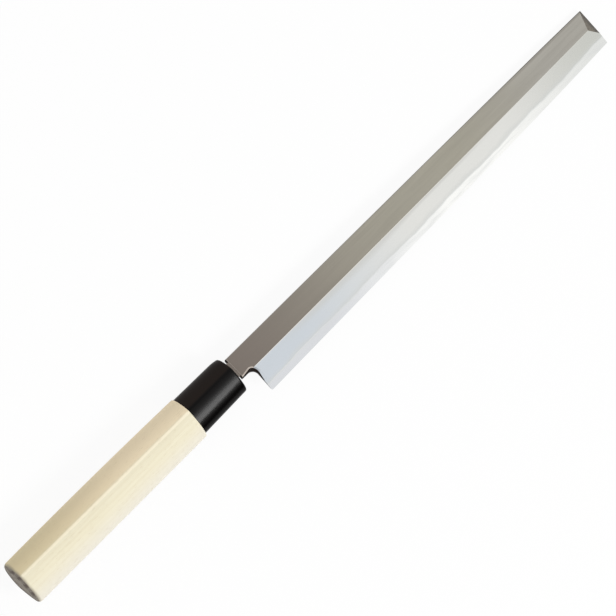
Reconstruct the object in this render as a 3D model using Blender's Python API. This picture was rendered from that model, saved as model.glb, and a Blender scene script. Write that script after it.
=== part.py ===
# Takohiki knife: a long square-tipped slicer, ground on one side only, on a D-shaped handle.
# The laminated blade is soft iron with a hard steel layer forge-welded over its whole back.
# +X runs from the butt to the tip, +Y from the cutting edge to the spine, and +Z out of the
# ground face. The origin is the middle of the butt's flat end. All lengths are in metres.

import math

import bmesh
import bpy
from mathutils import Matrix, Vector
from mathutils.geometry import interpolate_bezier

# Handle: how far its outline reaches from the axis on each side
HANDLE_LENGTH = 0.1120
HANDLE_TO_SPINE_SIDE = 0.0117
HANDLE_SPINE_SIDE_BELLY = 0.00045
HANDLE_TO_EDGE_SIDE_AT_BUTT = 0.0125
HANDLE_TO_EDGE_SIDE_AT_FERRULE = 0.0117
HANDLE_CREST = 0.0098
HANDLE_BACK = 0.0094
BUTT_ROUNDING = 0.0015
HANDLE_FRONT_ROUNDING = 0.0005

# Ridge of the D shape, and how steeply the two facets start down from it
RIDGE_TO_AXIS = 0.0026
RIDGE_ROUNDING = 0.0006
SPINE_FACET_SLOPE = math.radians(22)
EDGE_FACET_SLOPE = math.radians(9)

# Fullness of the D outline's curves, as shares of each reach
FACET_FLATNESS = 0.50
SIDE_FULLNESS = 0.45
BACK_FULLNESS_AT_SPINE_SIDE = 0.58
BACK_FULLNESS_AT_EDGE_SIDE = 0.32

# Ferrule: its own reach from the same axis, at the wood and at the front
FERRULE_LENGTH = 0.0293
FERRULE_TO_SPINE_SIDE_AT_WOOD = 0.0111
FERRULE_TO_SPINE_SIDE_AT_FRONT = 0.0109
FERRULE_TO_EDGE_SIDE_AT_WOOD = 0.01045
FERRULE_TO_EDGE_SIDE_AT_FRONT = 0.0096
FERRULE_CREST_AT_WOOD = 0.0088
FERRULE_CREST_AT_FRONT = 0.0084
FERRULE_BACK_AT_WOOD = 0.0084
FERRULE_BACK_AT_FRONT = 0.0080
FERRULE_WALL = 0.0024
FERRULE_FRONT_ROUNDING = 0.0009
FERRULE_REAR_ROUNDING = 0.0002
FERRULE_EASING_AT_SPINE_SIDE = 0.0006
FERRULE_EASED_LENGTH = 0.0055

# Blade outline, seen square to its ground face
BLADE_LENGTH = 0.2412
SPINE_TO_AXIS = 0.0078
HEIGHT_AT_HEEL = 0.0259
HEIGHT_AT_TIP = 0.0204
EDGE_BELLY = 0.0006
FLAT_WIDTH_AT_HEEL = 0.0122
FLAT_WIDTH_AT_TIP = 0.0097
SHINOGI_BELLY = 0.00022
TIP_RAKE = 0.0006

# Blade thickness, layers and the hollow of the back
THICKNESS_AT_SHOULDER = 0.0030
THICKNESS_AT_TIP = 0.0023
STEEL_THICKNESS = 0.00098
EDGE_THICKNESS = 0.0001
SPINE_ROUNDING = 0.0004
HOLLOW_DEPTH = 0.00035
HOLLOW_RIM_AT_EDGE = 0.0012
HOLLOW_RIM_AT_SPINE = 0.0022
HOLLOW_END_MARGIN = 0.0030
HOLLOW_RUN_OUT = 0.0120
HOLLOW_END_WIDTH = 0.4

# Facet ground on the end of the flat at the tip
TIP_FACET_AT_SPINE = 0.0005
TIP_FACET_AT_SHINOGI = 0.0036
TIP_FACET_SLOPE = math.radians(11)

# Neck, choil and tang
FERRULE_TO_SHOULDER = 0.0022
NECK_LENGTH = 0.0067
NECK_HEIGHT_AT_SHOULDER = 0.0119
NECK_HEIGHT_AT_CHOIL = 0.01205
CHOIL_RADIUS = 0.0029
CHAMFER_AT_SHOULDER = 0.0003
CHAMFER_AT_CHOIL = 0.0012
CHAMFER_TO_WELD = 0.0002
HEEL_RAKE = 0.0005
HEEL_ROUNDING = 0.0005
SHOULDER_ROUNDING = 0.0006
SHOULDER_AT_SPINE = 0.0020
SHOULDER_AT_EDGE = 0.0014
TANG_LENGTH = 0.0930
TANG_THICKNESS = 0.0028
TANG_END_HEIGHT = 0.0050
TANG_END_THICKNESS = 0.0020
TANG_END_TAPER = 0.0020

# Clearance of glued and burnt-in fits, and the free space behind the tang's end
FIT_GAP = 0.0003
TANG_END_GAP = 0.0008

# Places along the knife
joint_x = HANDLE_LENGTH
ferrule_front_x = joint_x + FERRULE_LENGTH
shoulder_x = ferrule_front_x + FERRULE_TO_SHOULDER
heel_x = shoulder_x + NECK_LENGTH
tip_x = heel_x + BLADE_LENGTH
tang_end_x = shoulder_x - TANG_LENGTH

# Levels across the knife: the back plane, the weld plane and the foot of the neck
back_z = -THICKNESS_AT_SHOULDER / 2
weld_z = back_z + STEEL_THICKNESS
neck_rear_y = SPINE_TO_AXIS - NECK_HEIGHT_AT_SHOULDER
neck_foot_y = SPINE_TO_AXIS - NECK_HEIGHT_AT_CHOIL
tang_top_y = SPINE_TO_AXIS - SHOULDER_AT_SPINE
tang_foot_y = neck_rear_y + SHOULDER_AT_EDGE

# Counts of points and sections
RIDGE_POINTS = 4
FACET_POINTS = 13
BACK_POINTS = 11
ROUNDING_STEPS = 4
HANDLE_SECTIONS = 8
EASED_SECTIONS = 4
BLADE_SECTIONS = 60
HOLLOW_POINTS = 11
CHOIL_POINTS = 12
WALL_POINTS = 4

# How far cutters reach past what they cut, and the tang's root into the neck
CUT_MARGIN = 0.010
ROOT_OVERLAP = 0.002

# Edges that turn by more than this many degrees stay crisp
HANDLE_CREASE = 30
BLADE_CREASE = 8

PARTS_NAME = "takohiki_knife"


def clear_scene():
    for old in list(bpy.data.objects):
        bpy.data.objects.remove(old, do_unlink=True)


def new_collection(name):
    collection = bpy.data.collections.new(name)
    bpy.context.scene.collection.children.link(collection)
    return collection


def blend(start, end, share):
    return start + (end - start) * share


def make_material(name, colour, roughness, metallic):
    material = bpy.data.materials.new(name)
    material.use_nodes = True
    shader = material.node_tree.nodes["Principled BSDF"]
    shader.inputs["Base Color"].default_value = (*colour, 1.0)
    shader.inputs["Roughness"].default_value = roughness
    shader.inputs["Metallic"].default_value = metallic
    return material


def add_solid(name, mesh, collection):
    """Makes an object of a bmesh, with its faces pointing out."""
    bmesh.ops.recalc_face_normals(mesh, faces=mesh.faces)
    data = bpy.data.meshes.new(name)
    mesh.to_mesh(data)
    mesh.free()
    solid = bpy.data.objects.new(name, data)
    collection.objects.link(solid)
    return solid


def loft(name, rings, collection, tube=False):
    """A closed solid through rings of equal count: capped, or joined end to end as a tube."""
    mesh = bmesh.new()
    loops = [[mesh.verts.new(point) for point in ring] for ring in rings]
    following = loops[1:] + loops[:1] if tube else loops[1:]
    for first, second in zip(loops, following):
        for i in range(len(first)):
            j = (i + 1) % len(first)
            mesh.faces.new((first[i], first[j], second[j], second[i]))
    if not tube:
        mesh.faces.new(loops[0])
        mesh.faces.new(loops[-1])
    return add_solid(name, mesh, collection)


def block(name, low, high, collection):
    """A box between two corners."""
    mesh = bmesh.new()
    for vert in bmesh.ops.create_cube(mesh, size=1.0)["verts"]:
        vert.co = Vector(low[i] if vert.co[i] < 0 else high[i] for i in range(3))
    return add_solid(name, mesh, collection)


def as_cutter(solid):
    solid.hide_render = True
    solid.display_type = "WIRE"
    return solid


def cut(solid, cutter, operation="DIFFERENCE"):
    modifier = solid.modifiers.new(cutter.name, "BOOLEAN")
    modifier.operation = operation
    modifier.solver = "EXACT"
    modifier.object = cutter


def finish(solid, material, crease):
    solid.data.materials.append(material)
    solid.data.shade_smooth()
    solid.data.set_sharp_from_angle(angle=math.radians(crease))


def at(x, outline):
    return [Vector((x, y, z)) for y, z in outline]


def quarter_turn():
    """The angles of a quarter round's points, from 0 to 90 degrees."""
    return [math.radians(90) * step / ROUNDING_STEPS for step in range(ROUNDING_STEPS + 1)]


def bulge(share):
    """Nothing at both ends of a length and 1 halfway along it."""
    return 4 * share * (1 - share)


def rounded_end(end_x, radius, outline, into):
    """Rings of a quarter round, from the end face to the full outline. into is 1 or -1 along X."""
    rings = []
    for angle in quarter_turn():
        x = end_x + into * radius * (1 - math.cos(angle))
        rings.append(at(x, outline(x, radius * (1 - math.sin(angle)))))
    return rings


def d_outline(to_spine, to_edge, crest, back, inset):
    """The D outline as (y, z): two facets that meet on a rounded ridge, and an oval back."""
    to_spine, to_edge, crest, back = (reach - inset for reach in (to_spine, to_edge, crest, back))
    ridge = Vector((RIDGE_TO_AXIS, crest, 0))

    def half(side, slope, back_fullness):
        run = (side - RIDGE_TO_AXIS) * FACET_FLATNESS
        down_facet = Vector((run, -abs(run) * math.tan(slope), 0))
        start = ridge + down_facet.normalized() * RIDGE_ROUNDING
        above_side = (side, crest * SIDE_FULLNESS, 0)
        facet = interpolate_bezier(start, ridge + down_facet, above_side, (side, 0, 0), FACET_POINTS)
        below_side = (side, -back * back_fullness, 0)
        beside_middle = (side * back_fullness, -back, 0)
        quarter = interpolate_bezier((side, 0, 0), below_side, beside_middle, (0, -back, 0), BACK_POINTS)
        return facet + quarter[1:]

    spine_half = half(to_spine, SPINE_FACET_SLOPE, BACK_FULLNESS_AT_SPINE_SIDE)
    edge_half = half(-to_edge, EDGE_FACET_SLOPE, BACK_FULLNESS_AT_EDGE_SIDE)
    rounding = interpolate_bezier(edge_half[0], ridge, ridge, spine_half[0], RIDGE_POINTS)
    points = rounding[:-1] + spine_half + edge_half[-2:0:-1]
    return [(point.x, point.y) for point in points]


def handle_outline(x, inset):
    share = x / joint_x
    to_spine = HANDLE_TO_SPINE_SIDE + HANDLE_SPINE_SIDE_BELLY * bulge(share)
    to_edge = blend(HANDLE_TO_EDGE_SIDE_AT_BUTT, HANDLE_TO_EDGE_SIDE_AT_FERRULE, share)
    return d_outline(to_spine, to_edge, HANDLE_CREST, HANDLE_BACK, inset)


def ferrule_outline(x, inset):
    share = (x - joint_x) / FERRULE_LENGTH
    eased = max(x - ferrule_front_x + FERRULE_EASED_LENGTH, 0) / FERRULE_EASED_LENGTH
    to_spine = blend(FERRULE_TO_SPINE_SIDE_AT_WOOD, FERRULE_TO_SPINE_SIDE_AT_FRONT, share)
    return d_outline(
        to_spine - FERRULE_EASING_AT_SPINE_SIDE * eased ** 2,
        blend(FERRULE_TO_EDGE_SIDE_AT_WOOD, FERRULE_TO_EDGE_SIDE_AT_FRONT, share),
        blend(FERRULE_CREST_AT_WOOD, FERRULE_CREST_AT_FRONT, share),
        blend(FERRULE_BACK_AT_WOOD, FERRULE_BACK_AT_FRONT, share),
        inset,
    )


def tang_ring(x, height, thickness, grow):
    """A rectangle across the tang, whose middle lies halfway between the two shoulders."""
    middle = (tang_top_y + tang_foot_y) / 2
    half_height = height / 2 + grow
    half_thickness = thickness / 2 + grow
    corners = ((1, 1), (-1, 1), (-1, -1), (1, -1))
    return [Vector((x, middle + half_height * y, half_thickness * z)) for y, z in corners]


def tang_rings(rear_x, front_x, grow):
    """Rings from the tang's tapered end to its root, carried on straight to front_x."""
    root_height = tang_top_y - tang_foot_y
    end_height = TANG_END_HEIGHT - TANG_END_TAPER
    return [
        tang_ring(rear_x, end_height, TANG_END_THICKNESS, grow),
        tang_ring(rear_x + TANG_END_TAPER, TANG_END_HEIGHT, TANG_END_THICKNESS, grow),
        tang_ring(shoulder_x, root_height, TANG_THICKNESS, grow),
        tang_ring(front_x, root_height, TANG_THICKNESS, grow),
    ]


def build_handle(parts, cutters):
    """Magnolia handle with its tenon, and the blind hole that the tang is burnt into."""
    rings = rounded_end(0, BUTT_ROUNDING, handle_outline, 1)
    for i in range(1, HANDLE_SECTIONS):
        x = blend(BUTT_ROUNDING, joint_x - HANDLE_FRONT_ROUNDING, i / HANDLE_SECTIONS)
        rings.append(at(x, handle_outline(x, 0)))
    rings += rounded_end(joint_x, HANDLE_FRONT_ROUNDING, handle_outline, -1)[::-1]
    tenon = ferrule_outline(ferrule_front_x, FERRULE_WALL + FIT_GAP)
    rings += [at(joint_x, tenon), at(ferrule_front_x, tenon)]
    handle = loft("handle", rings, parts)
    hole = tang_rings(tang_end_x - TANG_END_GAP, ferrule_front_x + CUT_MARGIN, FIT_GAP)
    cut(handle, as_cutter(loft("tang_hole", hole, cutters)))
    finish(handle, make_material("magnolia", (0.78, 0.70, 0.50), 0.55, 0.0), HANDLE_CREASE)


def build_ferrule(parts):
    """Black ferrule: a tapered ring over the tenon, eased and rounded at its front rim."""
    rings = rounded_end(joint_x, FERRULE_REAR_ROUNDING, ferrule_outline, 1)
    eased_x = ferrule_front_x - FERRULE_EASED_LENGTH
    for i in range(EASED_SECTIONS):
        x = blend(eased_x, ferrule_front_x - FERRULE_FRONT_ROUNDING, i / EASED_SECTIONS)
        rings.append(at(x, ferrule_outline(x, 0)))
    rings += rounded_end(ferrule_front_x, FERRULE_FRONT_ROUNDING, ferrule_outline, -1)[::-1]
    bore = ferrule_outline(ferrule_front_x, FERRULE_WALL)
    rings += [at(ferrule_front_x, bore), at(joint_x, bore)]
    ferrule = loft("ferrule", rings, parts, tube=True)
    finish(ferrule, make_material("black_horn", (0.012, 0.011, 0.011), 0.16, 0.0), HANDLE_CREASE)


def edge_y(x):
    """Height of the cutting edge, which bellies a little two thirds of the way to the tip."""
    share = (x - heel_x) / BLADE_LENGTH
    belly = EDGE_BELLY * 27 / 4 * share ** 2 * (1 - share)
    return SPINE_TO_AXIS - blend(HEIGHT_AT_HEEL, HEIGHT_AT_TIP, share) - belly


def shinogi_y(x):
    """Height of the line where the flat meets the bevel."""
    share = (x - heel_x) / BLADE_LENGTH
    flat_width = blend(FLAT_WIDTH_AT_HEEL, FLAT_WIDTH_AT_TIP, share)
    return SPINE_TO_AXIS - flat_width - SHINOGI_BELLY * bulge(share)


def spine_y(x):
    """Height of the spine, which is straight but for its rounded corner at the shoulder."""
    share = min(max((x - shoulder_x) / SHOULDER_ROUNDING, 0), 1)
    return SPINE_TO_AXIS - SHOULDER_ROUNDING * (1 - math.sqrt(share * (2 - share)))


def flat_z(x):
    share = (x - shoulder_x) / (tip_x - shoulder_x)
    return back_z + blend(THICKNESS_AT_SHOULDER, THICKNESS_AT_TIP, share)


def ground_z(y):
    """Level of the ground face above the heel: the flat, and below the shinogi the bevel."""
    share = (shinogi_y(heel_x) - y) / (shinogi_y(heel_x) - edge_y(heel_x))
    return blend(flat_z(heel_x), back_z + EDGE_THICKNESS, max(share, 0))


def hollow_share(x):
    """How much of the back's hollow a section has: none at the ends, all of it between them."""
    to_heel = x - heel_x - HOLLOW_END_MARGIN
    to_tip = tip_x - HOLLOW_END_MARGIN - x
    run = min(max(min(to_heel, to_tip) / HOLLOW_RUN_OUT, 0), 1)
    return math.sin(math.radians(90) * run) ** 2


def hollow_outline(x):
    """The back from the edge's rim to the spine's: a shallow arc that fades out at both ends."""
    share = hollow_share(x)
    edge_rim = edge_y(x) + HOLLOW_RIM_AT_EDGE
    spine_rim = SPINE_TO_AXIS - HOLLOW_RIM_AT_SPINE
    middle = (edge_rim + spine_rim) / 2
    half = (spine_rim - edge_rim) / 2 * blend(HOLLOW_END_WIDTH, 1, share)
    outline = []
    for i in range(HOLLOW_POINTS + 2):
        across = 2 * i / (HOLLOW_POINTS + 1) - 1
        outline.append((middle + half * across, back_z + HOLLOW_DEPTH * share * (1 - across ** 2)))
    return outline


def blade_outline(x):
    """One section of the whole blade as (y, z), from the spine over the flat to the back."""
    def corner(middle_z, first_angle):
        middle_y = spine_y(x) - SPINE_ROUNDING
        angles = [math.radians(first_angle) + angle for angle in quarter_turn()]
        return [(middle_y + SPINE_ROUNDING * math.cos(angle), middle_z + SPINE_ROUNDING * math.sin(angle))
                for angle in angles]

    outline = corner(flat_z(x) - SPINE_ROUNDING, 0)
    outline.append((shinogi_y(x), flat_z(x)))
    outline.append((edge_y(x), back_z + EDGE_THICKNESS))
    outline.append((edge_y(x), back_z))
    return outline + hollow_outline(x) + corner(back_z + SPINE_ROUNDING, -90)


def whole_blade(name, parts):
    """The forged blank from the shoulders to past the tip, both layers in one."""
    straight_x = shoulder_x + SHOULDER_ROUNDING
    end_x = tip_x + CUT_MARGIN
    places = [straight_x - SHOULDER_ROUNDING * math.cos(angle) for angle in quarter_turn()]
    places += [blend(straight_x, end_x, (i + 1) / BLADE_SECTIONS) for i in range(BLADE_SECTIONS)]
    return loft(name, [at(x, blade_outline(x)) for x in places], parts)


def choil_outline():
    """The notch between neck and heel: points at level 0, each with the way its chamfer leans."""
    heel_y = edge_y(heel_x)
    foot_y = heel_y - CUT_MARGIN
    rear_x = shoulder_x - FERRULE_TO_SHOULDER
    upward = Vector((0, 1, 0))
    forward = Vector((1, 0, 0))
    outline = [(Vector((rear_x, foot_y, 0)), Vector())]
    outline += [(Vector((x, neck_rear_y, 0)), upward) for x in (rear_x, shoulder_x)]

    # Fillet under the neck
    middle = Vector((heel_x + HEEL_RAKE - CHOIL_RADIUS, neck_foot_y - CHOIL_RADIUS, 0))
    for i in range(CHOIL_POINTS):
        angle = math.radians(90 - 90 * i / (CHOIL_POINTS - 1))
        outward = forward * math.cos(angle) + upward * math.sin(angle)
        outline.append((middle + outward * CHOIL_RADIUS, outward))

    # Wall, which leans back to the heel and rounds its corner
    top = Vector((heel_x + HEEL_RAKE, middle.y, 0))
    turn = Vector((heel_x, heel_y + HEEL_ROUNDING, 0))
    outline += [(top.lerp(turn, i / WALL_POINTS), forward) for i in range(1, WALL_POINTS)]
    for angle in quarter_turn():
        corner = forward * (1 - math.cos(angle)) - upward * math.sin(angle)
        outline.append((turn + corner * HEEL_ROUNDING, forward))
    outline.append((Vector((heel_x + HEEL_ROUNDING, foot_y, 0)), forward))
    return outline


def choil_cutter(cutters):
    """Straight through the blade, then flared for a chamfer that runs out short of the weld."""
    top_z = flat_z(heel_x) + CUT_MARGIN
    rings = [[], [], []]
    for point, outward in choil_outline():
        chamfer = CHAMFER_AT_CHOIL if point.x > shoulder_x else CHAMFER_AT_SHOULDER
        chamfer_z = max(ground_z(point.y) - chamfer, weld_z + CHAMFER_TO_WELD)
        rings[0].append(point + Vector((0, 0, back_z - CUT_MARGIN)))
        rings[1].append(point + Vector((0, 0, chamfer_z)))
        rings[2].append(point + outward * (top_z - chamfer_z) + Vector((0, 0, top_z)))
    return as_cutter(loft("choil_cutter", rings, cutters))


def plane_cutter(name, point, normal, cutters):
    """Takes away all that lies past a plane through the point, on the side of the normal."""
    size = HEIGHT_AT_HEEL * 3
    cutter = block(name, (-size, -size, 0), (size, size, size), cutters)
    turn = Vector(normal).to_track_quat("Z", "Y").to_matrix().to_4x4()
    cutter.matrix_world = Matrix.Translation(point) @ turn
    return as_cutter(cutter)


def tip_cutter(cutters):
    """The square end of the blade, raked so that its spine corner stands forward."""
    corner = Vector((tip_x, edge_y(tip_x), 0))
    return plane_cutter("tip_cutter", corner, (HEIGHT_AT_TIP, -TIP_RAKE, 0), cutters)


def tip_facet_cutter(cutters):
    """The facet that slopes off the end of the flat, widest at the shinogi."""
    inner_x = tip_x - TIP_FACET_AT_SHINOGI
    inner = Vector((inner_x, shinogi_y(inner_x), flat_z(inner_x)))
    outer_x = tip_x + TIP_RAKE - TIP_FACET_AT_SPINE
    border = Vector((outer_x, SPINE_TO_AXIS, flat_z(outer_x))) - inner
    down_slope = border.cross(Vector((0, 0, 1))).normalized()
    normal = down_slope * math.sin(TIP_FACET_SLOPE) + Vector((0, 0, 1)) * math.cos(TIP_FACET_SLOPE)
    return plane_cutter("tip_facet_cutter", inner, normal, cutters)


def build_blade(parts, cutters):
    """Both layers come from one blank, which is parted at the weld plane."""
    iron = whole_blade("blade_iron_body", parts)
    steel = whole_blade("blade_steel_layer", parts)

    tang = as_cutter(loft("tang", tang_rings(tang_end_x, shoulder_x + ROOT_OVERLAP, 0), cutters))
    cut(iron, tang, "UNION")

    reach = HEIGHT_AT_HEEL * 2
    far_x = tip_x + reach
    steel_space = block("steel_space", (shoulder_x, -reach, -reach), (far_x, reach, weld_z), cutters)
    iron_space = block("iron_space", (tang_end_x, -reach, weld_z), (far_x, reach, reach), cutters)
    cut(iron, as_cutter(steel_space))
    cut(steel, as_cutter(iron_space))

    for cutter in (choil_cutter(cutters), tip_cutter(cutters), tip_facet_cutter(cutters)):
        cut(iron, cutter)
        cut(steel, cutter)
    finish(iron, make_material("soft_iron", (0.42, 0.40, 0.37), 0.38, 1.0), BLADE_CREASE)
    finish(steel, make_material("hard_steel", (0.78, 0.79, 0.80), 0.22, 1.0), BLADE_CREASE)


def main():
    clear_scene()
    parts = new_collection(PARTS_NAME)
    cutters = new_collection("cutters")
    build_handle(parts, cutters)
    build_ferrule(parts)
    build_blade(parts, cutters)


main()
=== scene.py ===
# Takohiki knife: its finishes, floor, light and camera, all in metres.
# +X runs to the tip, +Y to the spine, +Z out of the ground face.

import math

import bmesh
import bpy
from mathutils import Matrix, Vector
from mathutils.geometry import interpolate_bezier


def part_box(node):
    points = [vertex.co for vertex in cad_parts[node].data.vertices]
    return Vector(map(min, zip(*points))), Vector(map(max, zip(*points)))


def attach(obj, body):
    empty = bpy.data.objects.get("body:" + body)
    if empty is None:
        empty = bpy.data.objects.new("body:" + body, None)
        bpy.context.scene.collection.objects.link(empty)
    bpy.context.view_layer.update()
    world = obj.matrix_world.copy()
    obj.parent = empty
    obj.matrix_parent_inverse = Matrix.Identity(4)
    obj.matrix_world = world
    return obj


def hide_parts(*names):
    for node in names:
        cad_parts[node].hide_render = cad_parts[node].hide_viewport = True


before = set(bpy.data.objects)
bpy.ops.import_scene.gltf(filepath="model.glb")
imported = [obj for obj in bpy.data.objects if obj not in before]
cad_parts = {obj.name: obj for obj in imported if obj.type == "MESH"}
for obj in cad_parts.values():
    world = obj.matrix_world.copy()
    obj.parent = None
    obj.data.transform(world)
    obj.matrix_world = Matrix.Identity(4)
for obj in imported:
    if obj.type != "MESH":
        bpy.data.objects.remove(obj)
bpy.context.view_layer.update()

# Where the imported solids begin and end, which the finished pieces follow
handleLow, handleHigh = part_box("handle")
ferruleLow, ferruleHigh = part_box("ferrule")
ironLow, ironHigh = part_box("blade_iron_body")
steelLow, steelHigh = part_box("blade_steel_layer")
jointX = ferruleLow.x
ferruleFrontX = ferruleHigh.x
shoulderX = steelLow.x


class Socket:
    # One output of a node. Its operators add Math nodes to the same tree.

    def __init__(self, finish, output):
        self.finish = finish
        self.output = output

    def __add__(self, other):
        return self.finish.calculate("ADD", self, other)

    def __radd__(self, other):
        return self.finish.calculate("ADD", other, self)

    def __sub__(self, other):
        return self.finish.calculate("SUBTRACT", self, other)

    def __rsub__(self, other):
        return self.finish.calculate("SUBTRACT", other, self)

    def __mul__(self, other):
        return self.finish.calculate("MULTIPLY", self, other)

    def __rmul__(self, other):
        return self.finish.calculate("MULTIPLY", other, self)


class Finish:
    # The shader tree of a material or of the world.

    def __init__(self, owner):
        owner.use_nodes = True
        self.owner = owner
        self.tree = owner.node_tree
        self.tree.nodes.clear()

    def node(self, kind, settings=None, sockets=None, output=0):
        made = self.tree.nodes.new("ShaderNode" + kind)
        for name, value in (settings or {}).items():
            setattr(made, name, value)
        for name, value in (sockets or {}).items():
            if isinstance(value, Socket):
                self.tree.links.new(value.output, made.inputs[name])
            else:
                made.inputs[name].default_value = value
        if not made.outputs:
            return made
        if isinstance(output, tuple):
            return [Socket(self, made.outputs[i]) for i in output]
        return Socket(self, made.outputs[output])

    def calculate(self, operation, first, second=0):
        return self.node("Math", {"operation": operation}, {0: first, 1: second})

    def larger(self, first, second):
        return self.calculate("MAXIMUM", first, second)

    def distance(self, value, middle):
        return self.calculate("ABSOLUTE", value - middle)

    def mix(self, share, first, second):        # two colours
        settings = {"data_type": "RGBA", "clamp_factor": True}
        return self.node("Mix", settings, {0: share, 6: first, 7: second}, output=2)

    def ramp(self, value, start, end):          # 0 at start, 1 at end
        settings = {"interpolation_type": "SMOOTHSTEP"}
        return self.node("MapRange", settings, {0: value, 1: start, 2: end})

    def around(self, value, middle, reach):     # 1 within reach[0] of the middle, 0 past reach[1]
        return self.ramp(self.distance(value, middle), reach[1], reach[0])

    def place(self):                            # a point of the piece, in metres
        return self.node("TexCoord", output=3)

    def along(self, place):                     # its three parts
        return self.node("SeparateXYZ", None, {0: place}, output=(0, 1, 2))

    def stretch(self, place, factors):
        return self.node("VectorMath", {"operation": "MULTIPLY"}, {0: place, 1: factors})

    def noise(self, place, factors, detail=2):  # factors: how often it changes per metre, each way
        sockets = {"Vector": self.stretch(place, factors), "Scale": 1, "Detail": detail}
        return self.node("TexNoise", None, sockets)

    def bump(self, height, distance):
        return self.node("Bump", None, {"Height": height, "Distance": distance})

    def rays(self):                             # 1 where the camera looks, 1 in what metal mirrors
        cameraRay, glossyRay, transmissionRay = self.node("LightPath", output=(0, 3, 6))
        return cameraRay, self.larger(glossyRay, transmissionRay)

    def surface(self, sockets):
        shader = self.node("BsdfPrincipled", None, sockets)
        self.node("OutputMaterial", None, {"Surface": shader})
        return self.owner


def newFinish(name):
    return Finish(bpy.data.materials.new(name))


# A colour as it is seen on a screen, 0 to 255, turned into the shader's linear values
def tone(red, green, blue):
    def linear(level):
        share = level / 255
        return share / 12.92 if share <= 0.04045 else ((share + 0.055) / 1.055) ** 2.4
    return (linear(red), linear(green), linear(blue), 1.0)


def between(start, end, share):
    return start + (end - start) * share


def newObject(name, data):
    made = bpy.data.objects.new(name, data)
    bpy.context.scene.collection.objects.link(made)
    return made


def meshObject(name, mesh):
    data = bpy.data.meshes.new(name)
    mesh.to_mesh(data)
    mesh.free()
    return newObject(name, data)


# Mesh making: rings of points joined into closed solids, then carved

def loft(name, rings, tube=False):              # a tube joins its last ring to its first
    mesh = bmesh.new()
    loops = [[mesh.verts.new(point) for point in ring] for ring in rings]
    following = loops[1:] + loops[:1] if tube else loops[1:]
    for first, second in zip(loops, following):
        for i in range(len(first)):
            j = (i + 1) % len(first)
            mesh.faces.new((first[i], first[j], second[j], second[i]))
    if not tube:
        mesh.faces.new(loops[0])
        mesh.faces.new(loops[-1])
    bmesh.ops.recalc_face_normals(mesh, faces=mesh.faces)
    return meshObject(name, mesh)


def box(name, low, high):
    corners = ((low[0], low[1]), (high[0], low[1]), (high[0], high[1]), (low[0], high[1]))
    return loft(name, [[Vector((x, y, z)) for x, y in corners] for z in (low[2], high[2])])


def carve(piece, tools, operation="DIFFERENCE"):
    for tool in tools:
        modifier = piece.modifiers.new("carve", "BOOLEAN")
        modifier.operation = operation
        modifier.solver = "EXACT"
        modifier.object = tool


def settle(piece):                              # makes the carved result the piece's own mesh
    bpy.context.view_layer.update()
    shaped = piece.evaluated_get(bpy.context.evaluated_depsgraph_get())
    rough = piece.data
    piece.data = bpy.data.meshes.new_from_object(shaped)
    piece.data.name = piece.name
    piece.modifiers.clear()
    bpy.data.meshes.remove(rough)


def discard(tools):
    for tool in tools:
        bpy.data.objects.remove(tool, do_unlink=True)


def dress(piece, node, finishes, chooseFinish, smoothBelow=30):
    mesh = piece.data
    mesh.materials.clear()
    names = list(finishes)
    for name in names:
        mesh.materials.append(finishes[name])
    for face in mesh.polygons:
        face.material_index = names.index(chooseFinish(face))
    mesh.shade_smooth()
    mesh.set_sharp_from_angle(angle=math.radians(smoothBelow))
    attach(piece, "root")
    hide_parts(node)


def at(x, outline):                             # an outline's points (y, z) at a place along X
    return [Vector((x, y, z)) for y, z in outline]


def quarterTurn(steps):                         # angles from 0 to 90 degrees
    return [math.radians(90) * step / steps for step in range(steps + 1)]


def bulge(share):                               # nothing at both ends of a length, 1 halfway
    return 4 * share * (1 - share)


def roundedEnd(endX, radius, steps, outline, into):     # into: 1 towards the tip, -1 the butt
    rings = []
    for angle in quarterTurn(steps):
        x = endX + into * radius * (1 - math.cos(angle))
        rings.append(at(x, outline(x, radius * (1 - math.sin(angle)))))
    return rings


# The D outline that handle and ferrule share: two facets that meet on a ridge, and an oval back
dShape = {
    "ridgeAcross": 0.0026,
    "ridgeRounding": 0.0006,
    "spineFacetSlope": 22,      # degrees, where the facet leaves the ridge
    "edgeFacetSlope": 9,
    "facetFlatness": 0.50,
    "sideFullness": 0.45,
    "spineBackFullness": 0.46,  # how far the back bulges into its corner, where 1 fills it
    "edgeBackFullness": 0.23,
    "ridgePoints": 7,
    "facetPoints": 20,
    "backPoints": 20,
}


def dOutline(toSpine, toEdge, crest, back, inset):
    shape = dShape
    toSpine, toEdge, crest, back = (reach - inset for reach in (toSpine, toEdge, crest, back))
    ridge = Vector((shape["ridgeAcross"], crest, 0))

    def half(side, slope, backFullness):
        run = (side - shape["ridgeAcross"]) * shape["facetFlatness"]
        downFacet = Vector((run, -abs(run) * math.tan(math.radians(slope)), 0))
        start = ridge + downFacet.normalized() * shape["ridgeRounding"]
        aboveSide = (side, crest * shape["sideFullness"], 0)
        facet = interpolate_bezier(start, ridge + downFacet, aboveSide, (side, 0, 0),
                                   shape["facetPoints"])
        belowSide = (side, -back * backFullness, 0)
        besideMiddle = (side * backFullness, -back, 0)
        rounded = interpolate_bezier((side, 0, 0), belowSide, besideMiddle, (0, -back, 0),
                                     shape["backPoints"])
        return facet + rounded[1:]

    spineHalf = half(toSpine, shape["spineFacetSlope"], shape["spineBackFullness"])
    edgeHalf = half(-toEdge, shape["edgeFacetSlope"], shape["edgeBackFullness"])
    overRidge = interpolate_bezier(edgeHalf[0], ridge, ridge, spineHalf[0], shape["ridgePoints"])
    return [(point.x, point.y) for point in overRidge[:-1] + spineHalf + edgeHalf[-2:0:-1]]


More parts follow.
